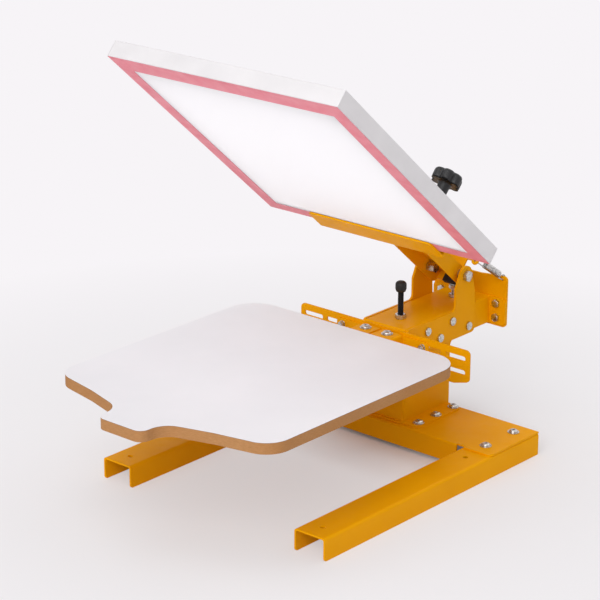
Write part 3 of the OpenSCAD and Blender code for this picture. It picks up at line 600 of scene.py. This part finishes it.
def cap_profile(top):
    """Half section of the stop's rubber cap: a tapered skirt and a rounded crown."""
    bottom, bore, bore_end = 255, 5.05, 264.3
    crown = 6
    return ([(bore, bottom), (7, bottom)] + arc(7.2, bottom + 0.8, 0.8, -90, -20, 3)
            + arc(8.5, bottom + 5, 1, -20, 0, 2) + arc(3.5, top - crown, crown, 0, 90, 8)
            + [(0, top), (0, bore_end), (bore, bore_end)])


def make_stops():
    print_stop = facing((0, PRINT_STOP_Y, 0), UP)
    raise_stop = facing((0, RAISE_STOP_Y, 0), UP)
    bm = bmesh.new()
    for z in (POST_TOP, POST_TOP - SHEET - NUT_M10[1]):
        add(bm, above(print_stop, z), nut, *NUT_M10)
    finish_piece("print_stop_nuts_fine", bm, "base", "zinc", ["print_stop_nut"])
    bm = bmesh.new()
    add(bm, print_stop, thread, 5, 195, 264, PITCH_M10)
    finish_piece("print_stop_rod_fine", bm, "print_stop_rod", "black_steel", ["print_stop_rod"])
    bm = bmesh.new()
    arm_under, gap = PIVOT_Z + 10, 0.4
    add(bm, print_stop, lathe, cap_profile(arm_under - gap), closed=True)
    finish_piece("print_stop_cap_fine", bm, "print_stop_cap", "rubber", ["print_stop_cap"])
    bm = bmesh.new()
    for z in (POST_TOP, POST_TOP - SHEET - RAISE_STOP_NUT[1]):
        add(bm, above(raise_stop, z), nut, *RAISE_STOP_NUT)
    finish_piece("raise_stop_nuts_fine", bm, "base", "zinc", ["raise_stop_nut"])
    bm = bmesh.new()
    add(bm, raise_stop, thread, 4, 195.5, 223, PITCH_M8)
    add(bm, above(raise_stop, 222.5), hex_head, *RAISE_STOP_HEAD)
    finish_piece("raise_stop_bolt_fine", bm, "raise_stop_bolt", "zinc", ["raise_stop_bolt"])


def make_clamp_bolts():
    bm = bmesh.new()
    for point in both_sides(*CLAMP_BOLTS):
        front = facing(point, TO_FRONT, HEAD)
        add(bm, front, hex_head, *HEAD_M6)
        add(bm, front, thread, 3, -14, 1, PITCH_M6)
        add(bm, above(front, -11), nut, *NUT_M6)
    finish_piece("clamp_bolts_fine", bm, "head", "zinc", ["clamp_bolts"])


# Clamp knobs, with a pressure foot under each
KNOB_X = 90
KNOB_S = 222
KNOB_R = 26
KNOB_UNDER = 70
HUB_UNDER = 50
# Height above the head's underside, and width as a share of the knob's radius
KNOB_SECTION = ((0, 0.88), (0.8, 0.95), (2.5, 0.995), (5, 1.0), (13, 1.0), (16, 0.975),
                (18.4, 0.90), (19.6, 0.78), (20, 0.62), (20, 0.44), (19.2, 0.40))
FOOT_T = -11.3
FOOT_SECTION = ((0, 0), (9.2, 0), (10, 0.8), (10, 5), (8.6, 7), (4.1, 7), (4.1, 3), (0, 3))
STUD_LIFT = 3.2


def star_head(bm):
    """Head with six lobes, its underside on z = 0."""
    lobes, dip, reach = 6, 5.2, 0.19
    ring = bmesh.ops.create_circle(bm, segments=120, radius=KNOB_R)
    for v in ring["verts"]:
        turn = (math.atan2(v.co.y, v.co.x) * lobes / math.tau) % 1 - 0.5
        v.co.xy *= 1 - dip / KNOB_R * math.exp(-(turn / reach) ** 2 / 1.2)
    edges = bm.edges[:]
    bmesh.ops.contextual_create(bm, geom=edges)
    height, width = 0, 1
    for new_height, new_width in KNOB_SECTION:
        wall = bmesh.ops.extrude_edge_only(bm, edges=edges)["geom"]
        verts = [v for v in wall if isinstance(v, bmesh.types.BMVert)]
        edges = [e for e in wall if isinstance(e, bmesh.types.BMEdge) and set(e.verts) <= set(verts)]
        ratio = new_width / width
        bmesh.ops.scale(bm, vec=(ratio, ratio, 1), verts=verts)
        bmesh.ops.translate(bm, vec=(0, 0, new_height - height), verts=verts)
        height, width = new_height, new_width
    bmesh.ops.contextual_create(bm, geom=edges)
    bmesh.ops.recalc_face_normals(bm, faces=bm.faces)


def knob_hub(bm):
    radius, edge, flare = 10, 1, 4
    top = KNOB_UNDER + 0.4
    foot = [(0, HUB_UNDER), (radius - edge, HUB_UNDER), (radius, HUB_UNDER + edge)]
    lathe(bm, foot + arc(14.5, 66, flare, 180, 120, 4) + [(13.5, top), (0, top)])


def make_knobs():
    for side, label in ((-1, "left"), (1, "right")):
        place = HEAD @ Matrix.Translation((side * KNOB_X, -KNOB_S, 0))
        bm = bmesh.new()
        add(bm, above(place, KNOB_UNDER), star_head)
        add(bm, place, knob_hub)
        head = finish_piece(f"knob_{label}_head", bm, f"knob_{label}", "knob_plastic")
        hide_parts(f"knob_{label}")
        bm = bmesh.new()
        add(bm, place, thread, 4, FOOT_T + STUD_LIFT, HUB_UNDER + 1, PITCH_M8)
        finish_piece(f"knob_{label}_stud", bm, f"knob_{label}", "zinc")
        bm = bmesh.new()
        add(bm, above(place, FOOT_T), lathe, FOOT_SECTION)
        finish_piece(f"foot_{label}_fine", bm, f"foot_{label}", "zinc", [f"foot_{label}"])


# Lift springs
SPRING_R = 5.4
WIRE_R = 1.1
HOOK_R = 4.3
PLATE_EYE = Vector((68, 117, 245))
EYE_ARM = 34
HEAD_EYE = Vector((52, PIVOT_Y + EYE_ARM * math.sin(RAISE), PIVOT_Z + EYE_ARM * math.cos(RAISE)))


def spring_path():
    """Middle of the wire: a short hook, the coil and a hook with a longer shank."""
    turns, rear_reach, hook_reach, per_turn = 14, 12, 24, 24
    length = (HEAD_EYE - PLATE_EYE).length
    axis = (HEAD_EYE - PLATE_EYE).normalized()
    across = (Vector((1, 0, 0)) - axis.x * axis).normalized()
    up = axis.cross(across)
    pitch = (length - rear_reach - hook_reach) / turns

    def on_hook(eye, towards, degrees):
        a = math.radians(degrees)
        return eye - HOOK_R * (math.cos(a) * up + math.sin(a) * towards)

    def on_coil(i):
        a = math.tau * i / per_turn - math.pi / 2
        along = rear_reach + pitch * i / per_turn
        return PLATE_EYE + along * axis + SPRING_R * (math.cos(a) * across + math.sin(a) * up)

    def bend(p0, t0, p3, t3, u):
        p1, p2, v = p0 + t0, p3 - t3, 1 - u
        return p0 * v ** 3 + 3 * p1 * u * v * v + 3 * p2 * u * u * v + p3 * u ** 3

    last = on_coil(turns * per_turn)
    points = [on_hook(PLATE_EYE, axis, a) for a in range(250, -1, -10)]
    points += [bend(points[-1], 4 * axis, on_coil(0), 4 * across, i / 10) for i in range(1, 10)]
    points += [on_coil(i) for i in range(turns * per_turn + 1)]
    shank_end = on_hook(HEAD_EYE, axis, 0)
    points += [bend(last, 4 * across, shank_end, 12 * axis, i / 16) for i in range(1, 16)]
    points += [on_hook(HEAD_EYE, -axis, a) for a in range(0, 260, 10)]
    return points, axis


def make_springs():
    points, axis = spring_path()
    for side, label in ((-1, "left"), (1, "right")):
        data = bpy.data.curves.new(f"spring_{label}_line", "CURVE")
        data.dimensions = "3D"
        data.bevel_depth = WIRE_R / 1000
        data.bevel_resolution = 3
        data.use_fill_caps = True
        line = data.splines.new("POLY")
        line.points.add(len(points) - 1)
        for point, p in zip(line.points, points):
            point.co = (*mm(side * p.x, p.y + MID_Y, p.z), 1)
        wire = bpy.data.objects.new(f"spring_{label}_line", data)
        mesh = bpy.data.meshes.new_from_object(wire)
        bpy.data.objects.remove(wire)
        for polygon in mesh.polygons:
            polygon.use_smooth = True
        coil = bpy.data.objects.new(f"spring_{label}_wire", mesh)
        bpy.context.scene.collection.objects.link(coil)
        mesh.materials.clear()
        mesh.materials.append(MATERIALS["spring_steel"])
        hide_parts(f"spring_{label}")
        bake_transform(coil)


# Screen, in the head's own frame
FRAME_W = 463
FRAME_LEN = 502
FRAME_REAR_S = 210
FRAME_UNDER = -39.5
MESH_DROP = 0.15
GLUE_DROP = 0.36
GLUE_THICK = 0.12


def make_mesh():
    bm = bmesh.new()
    bmesh.ops.create_grid(bm, x_segments=40, y_segments=44, size=0.5, calc_uvs=True)
    bmesh.ops.scale(bm, vec=(FRAME_W, FRAME_LEN, 1), verts=bm.verts)
    middle = Matrix.Translation((0, -FRAME_REAR_S - FRAME_LEN / 2, FRAME_UNDER - MESH_DROP))
    bmesh.ops.transform(bm, matrix=HEAD @ middle, verts=bm.verts)
    cloth = finish_piece("mesh_cloth", bm, "head", "mesh", ["screen_mesh"])


def make_glue():
    """Four strips of bonded film on the print side, which overlap at the corners."""
    side_w, rear_w, front_w = 29.5, 25, 37.5
    margin = 0.4
    inner, outer = 0.05, 0.2
    rear = -FRAME_REAR_S
    front = rear - FRAME_LEN
    half = FRAME_W / 2
    strips = (
        (-half + margin, half - margin, front + margin, front + front_w, inner),
        (-half + margin, half - margin, rear - rear_w, rear - margin, inner),
        (-half + margin, -half + side_w, front + margin, rear - margin, outer),
        (half - side_w, half - margin, front + margin, rear - margin, outer),
    )
    bm = bmesh.new()
    for x0, x1, y0, y1, drop in strips:
        made = bmesh.ops.create_cube(bm, size=1)["verts"]
        middle = ((x0 + x1) / 2, (y0 + y1) / 2, FRAME_UNDER - GLUE_DROP - drop)
        bmesh.ops.scale(bm, vec=(x1 - x0, y1 - y0, GLUE_THICK), verts=made)
        bmesh.ops.translate(bm, vec=middle, verts=made)
    bmesh.ops.transform(bm, matrix=HEAD, verts=bm.verts)
    finish_piece("glue_strips", bm, "head", "glue", ["glue_tape"])


make_base_bolts()
make_rail_bolts()
make_cheek_bolts()
make_plate_bolts()
make_stops()
make_clamp_bolts()
make_knobs()
make_springs()
make_mesh()
make_glue()


# Stage
BACKGROUND = (0.93, 0.905, 0.93)


def background_rays(nodes, links):
    """1 for the rays that show the background: camera, glossy and transmission."""
    path = nodes.new("ShaderNodeLightPath")
    total = path.outputs["Is Camera Ray"]
    for name in ("Is Glossy Ray", "Is Transmission Ray"):
        node = nodes.new("ShaderNodeMath")
        node.operation = "MAXIMUM"
        links.new(total, node.inputs[0])
        links.new(path.outputs[name], node.inputs[1])
        total = node.outputs[0]
    return total


def make_stage():
    """White floor: it shows its own pale colour, with painted shade that darkens it near the press,
    and near the press also the press's soft shadow.
    """
    near, far = 0.35, 1.5
    bpy.ops.mesh.primitive_plane_add(size=14, location=(0, 0, -0.0002))
    floor = bpy.context.object
    floor.name = "floor"
    s = Shader("floor", (0.90, 0.89, 0.90), 0.9, Specular_IOR_Level=0.1)

    def distance(scale, start, end, stops):
        """A ramp over the distance from the origin of the scaled coordinates."""
        length = s.nodes.new("ShaderNodeVectorMath")
        length.operation = "LENGTH"
        s.link(scale, length.inputs[0])
        reach = s.nodes.new("ShaderNodeMapRange")
        reach.inputs["From Min"].default_value = start
        reach.inputs["From Max"].default_value = end
        s.link(length.outputs["Value"], reach.inputs["Value"])
        return s.ramp(reach.outputs["Result"], stops)

    def product(a, b):
        node = s.nodes.new("ShaderNodeMath")
        node.operation = "MULTIPLY"
        s.link(a, node.inputs[0])
        s.link(b, node.inputs[1])
        return node.outputs[0]

    # Painted shade: the floor's own pale colour is painted darker near the press and fades to the
    # backdrop colour further out.
    pale_and_painted_shade = s.nodes.new("ShaderNodeEmission")
    s.link(distance(s.coords, near, far, [(0.0, (0.84, 0.82, 0.835)), (0.7, BACKGROUND)]),
           pale_and_painted_shade.inputs["Color"])
    under_base = s.stretched((0.62, 1.0, 1.0))
    under_base.node.inputs["Location"].default_value = (0, -0.24, 0)
    share = product(distance(s.coords, near, far, [(0.0, 0.55), (0.7, 1.0)]),
                    distance(under_base, 0.04, 0.2, [(0.0, 0.0), (1.0, 1.0)]))
    share = product(share, background_rays(s.nodes, s.tree.links))
    blend = s.nodes.new("ShaderNodeMixShader")
    s.link(share, blend.inputs["Fac"])
    s.link(s.bsdf.outputs["BSDF"], blend.inputs[1])
    s.link(pale_and_painted_shade.outputs["Emission"], blend.inputs[2])
    s.link(blend.outputs["Shader"], s.nodes["Material Output"].inputs["Surface"])
    floor.data.materials.append(s.material)


def area_light(name, location, target, size, power):
    data = bpy.data.lights.new(name, "AREA")
    data.shape = "RECTANGLE"
    data.size, data.size_y = size
    data.energy = power
    light = bpy.data.objects.new(name, data)
    bpy.context.scene.collection.objects.link(light)
    aim = Vector(target) - Vector(location)
    light.location = location
    light.rotation_euler = aim.to_track_quat("-Z", "Y").to_euler()


def make_light():
    world = bpy.data.worlds.new("studio")
    bpy.context.scene.world = world
    world.use_nodes = True
    nodes = world.node_tree.nodes
    links = world.node_tree.links
    background = nodes["Background"]
    background.inputs["Color"].default_value = (0.97, 0.96, 0.98, 1)
    background.inputs["Strength"].default_value = 0.47
    white = nodes.new("ShaderNodeBackground")
    white.inputs["Color"].default_value = (*BACKGROUND, 1)
    mix = nodes.new("ShaderNodeMixShader")
    links.new(background_rays(nodes, links), mix.inputs["Fac"])
    links.new(background.outputs["Background"], mix.inputs[1])
    links.new(white.outputs["Background"], mix.inputs[2])
    links.new(mix.outputs["Shader"], nodes["World Output"].inputs["Surface"])
    area_light("key", (2.0, -4.9, 3.8), (0, 0, 0.2), (4.0, 4.0), 188)
    area_light("top", (-0.6, -1.6, 5.6), (0, 0, 0.2), (4.0, 4.0), 72)
    area_light("back", (0.8, 4.6, 5.2), (0, 0, 0.3), (4.0, 4.0), 44)
    area_light("low", (1.0, -5.2, 1.6), (0, 0, 0.4), (3.0, 1.6), 12)


make_stage()
make_light()
bpy.context.scene.view_settings.view_transform = "Standard"
